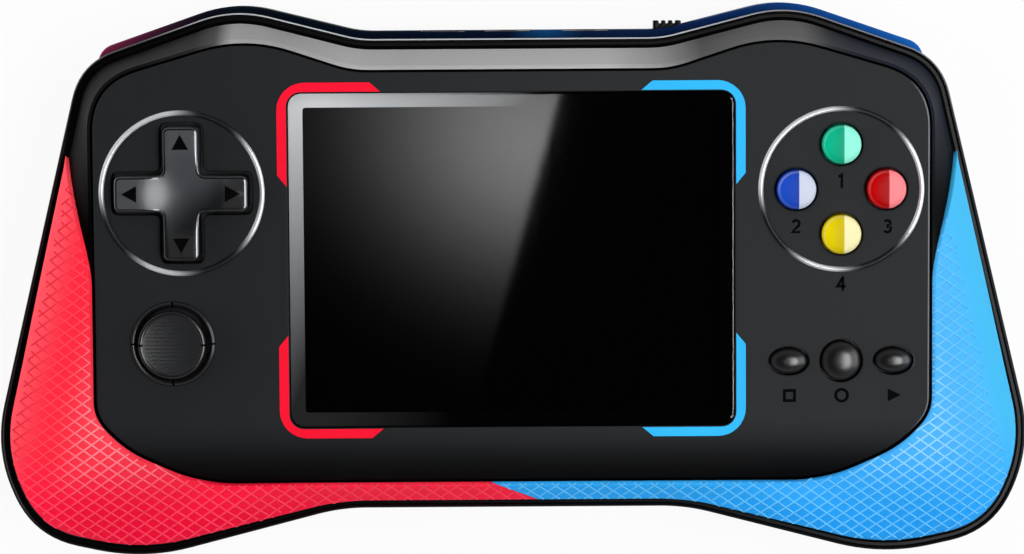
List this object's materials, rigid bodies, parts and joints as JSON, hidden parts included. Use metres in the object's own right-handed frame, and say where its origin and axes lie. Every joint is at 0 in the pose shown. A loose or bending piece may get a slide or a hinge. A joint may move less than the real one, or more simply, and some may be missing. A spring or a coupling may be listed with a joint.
{
  "type": "handheld game console",
  "caption": "Slab handheld game console with waisted grips, a framed screen, a rocking direction pad, a sliding thumb stick, push buttons and a power slider.",
  "frame": {"origin": "middle of the rear face, which lies on z = 0", "axes": "+X towards the action buttons, +Y towards the top edge, +Z out of the screen"},
  "size_m": [0.175, 0.0938, 0.0268],
  "materials": {
    "housing_black": "satin to gloss black plastic",
    "plate_black": "fine matt black plastic",
    "grip_red": "red soft-touch plastic with a fine diamond net",
    "grip_blue": "blue soft-touch plastic with a fine diamond net",
    "shell_blue": "dark plastic, maroon at the left to blue at the right",
    "steel": "plain steel",
    "inner_grey": "plain moulded plastic",
    "battery_silver": "foil-wrapped cell",
    "contact_brass": "plated spring contact",
    "lens_glass": "clear gloss lens",
    "frame_silver": "printed silver border",
    "accent_red": "red gloss inlay",
    "accent_blue": "blue gloss inlay",
    "trim_chrome": "chrome plated",
    "pad_grey": "dark grey gloss plastic",
    "button_green": "green gloss plastic",
    "button_blue": "blue gloss plastic",
    "button_red": "red gloss plastic",
    "button_yellow": "yellow gloss plastic",
    "button_black": "black gloss plastic",
    "display_grey": "sheet-metal display can",
    "ribbon_brown": "polyimide ribbon",
    "board_green": "solder mask",
    "chip_black": "moulded package",
    "membrane_rubber": "silicone rubber",
    "speaker_grey": "painted basket",
    "jack_black": "black moulded jack"
  },
  "bodies": {
    "case": {"front_housing": "housing_black", "face_plate": "plate_black", "left_grip": "grip_red", "right_grip": "grip_blue", "rear_shell": "shell_blue", "battery_door": "shell_blue", "door_screws": "steel", "battery_tray": "inner_grey", "battery": "battery_silver", "battery_contacts": "contact_brass", "case_screws": "steel", "screen_lens": "lens_glass", "screen_frame": "frame_silver", "red_accents": "accent_red", "blue_accents": "accent_blue", "pad_ring": "trim_chrome", "action_ring": "trim_chrome", "stick_collar": "housing_black", "pad_post": "inner_grey", "stick_base": "inner_grey", "power_switch": "steel", "display_module": "display_grey", "display_ribbon": "ribbon_brown", "main_board": "board_green", "board_chips": "chip_black", "board_screws": "steel", "pad_membrane": "membrane_rubber", "action_membrane": "membrane_rubber", "system_membrane": "membrane_rubber", "speaker": "speaker_grey", "usb_socket": "steel", "headphone_jack": "jack_black", "video_jack": "jack_black"},
    "direction_pad": {"direction_pad": "pad_grey"},
    "pad_pivot": {"pad_pivot": "steel"},
    "green_button": {"green_button": "button_green"},
    "blue_button": {"blue_button": "button_blue"},
    "red_button": {"red_button": "button_red"},
    "yellow_button": {"yellow_button": "button_yellow"},
    "select_button": {"select_button": "button_black"},
    "home_button": {"home_button": "button_black"},
    "start_button": {"start_button": "button_black"},
    "stick_cap": {"stick_cap": "pad_grey"},
    "stick_carriage": {"stick_carriage": "inner_grey"},
    "power_knob": {"power_knob": "button_black"}
  },
  "joints": [
    {"name": "pad_tilt_x", "type": "hinge", "parent": "case", "child": "pad_pivot", "pos_m": [-0.0554, 0.0155, 0.01796], "axis": [1, 0, 0], "range_deg": [-4, 4], "stiffness_Nm_per_rad": 0.2},
    {"name": "pad_tilt_y", "type": "hinge", "parent": "pad_pivot", "child": "direction_pad", "pos_m": [-0.0554, 0.0155, 0.01796], "axis": [0, 1, 0], "range_deg": [-4, 4], "stiffness_Nm_per_rad": 0.2},
    {"name": "green_button_press", "type": "slide", "parent": "case", "child": "green_button", "axis": [0, 0, 1], "range_m": [-0.0012, 0], "stiffness_N_per_m": 800},
    {"name": "blue_button_press", "type": "slide", "parent": "case", "child": "blue_button", "axis": [0, 0, 1], "range_m": [-0.0012, 0], "stiffness_N_per_m": 800},
    {"name": "red_button_press", "type": "slide", "parent": "case", "child": "red_button", "axis": [0, 0, 1], "range_m": [-0.0012, 0], "stiffness_N_per_m": 800},
    {"name": "yellow_button_press", "type": "slide", "parent": "case", "child": "yellow_button", "axis": [0, 0, 1], "range_m": [-0.0012, 0], "stiffness_N_per_m": 800},
    {"name": "select_button_press", "type": "slide", "parent": "case", "child": "select_button", "axis": [0, 0, 1], "range_m": [-0.0008, 0], "stiffness_N_per_m": 1000},
    {"name": "home_button_press", "type": "slide", "parent": "case", "child": "home_button", "axis": [0, 0, 1], "range_m": [-0.0008, 0], "stiffness_N_per_m": 1000},
    {"name": "start_button_press", "type": "slide", "parent": "case", "child": "start_button", "axis": [0, 0, 1], "range_m": [-0.0008, 0], "stiffness_N_per_m": 1000},
    {"name": "stick_x", "type": "slide", "parent": "case", "child": "stick_carriage", "axis": [1, 0, 0], "range_m": [-0.0014, 0.0014], "stiffness_N_per_m": 350},
    {"name": "stick_y", "type": "slide", "parent": "stick_carriage", "child": "stick_cap", "axis": [0, 1, 0], "range_m": [-0.0014, 0.0014], "stiffness_N_per_m": 350},
    {"name": "power_slide", "type": "slide", "parent": "case", "child": "power_knob", "axis": [1, 0, 0], "range_m": [0, 0.002]}
  ]
}
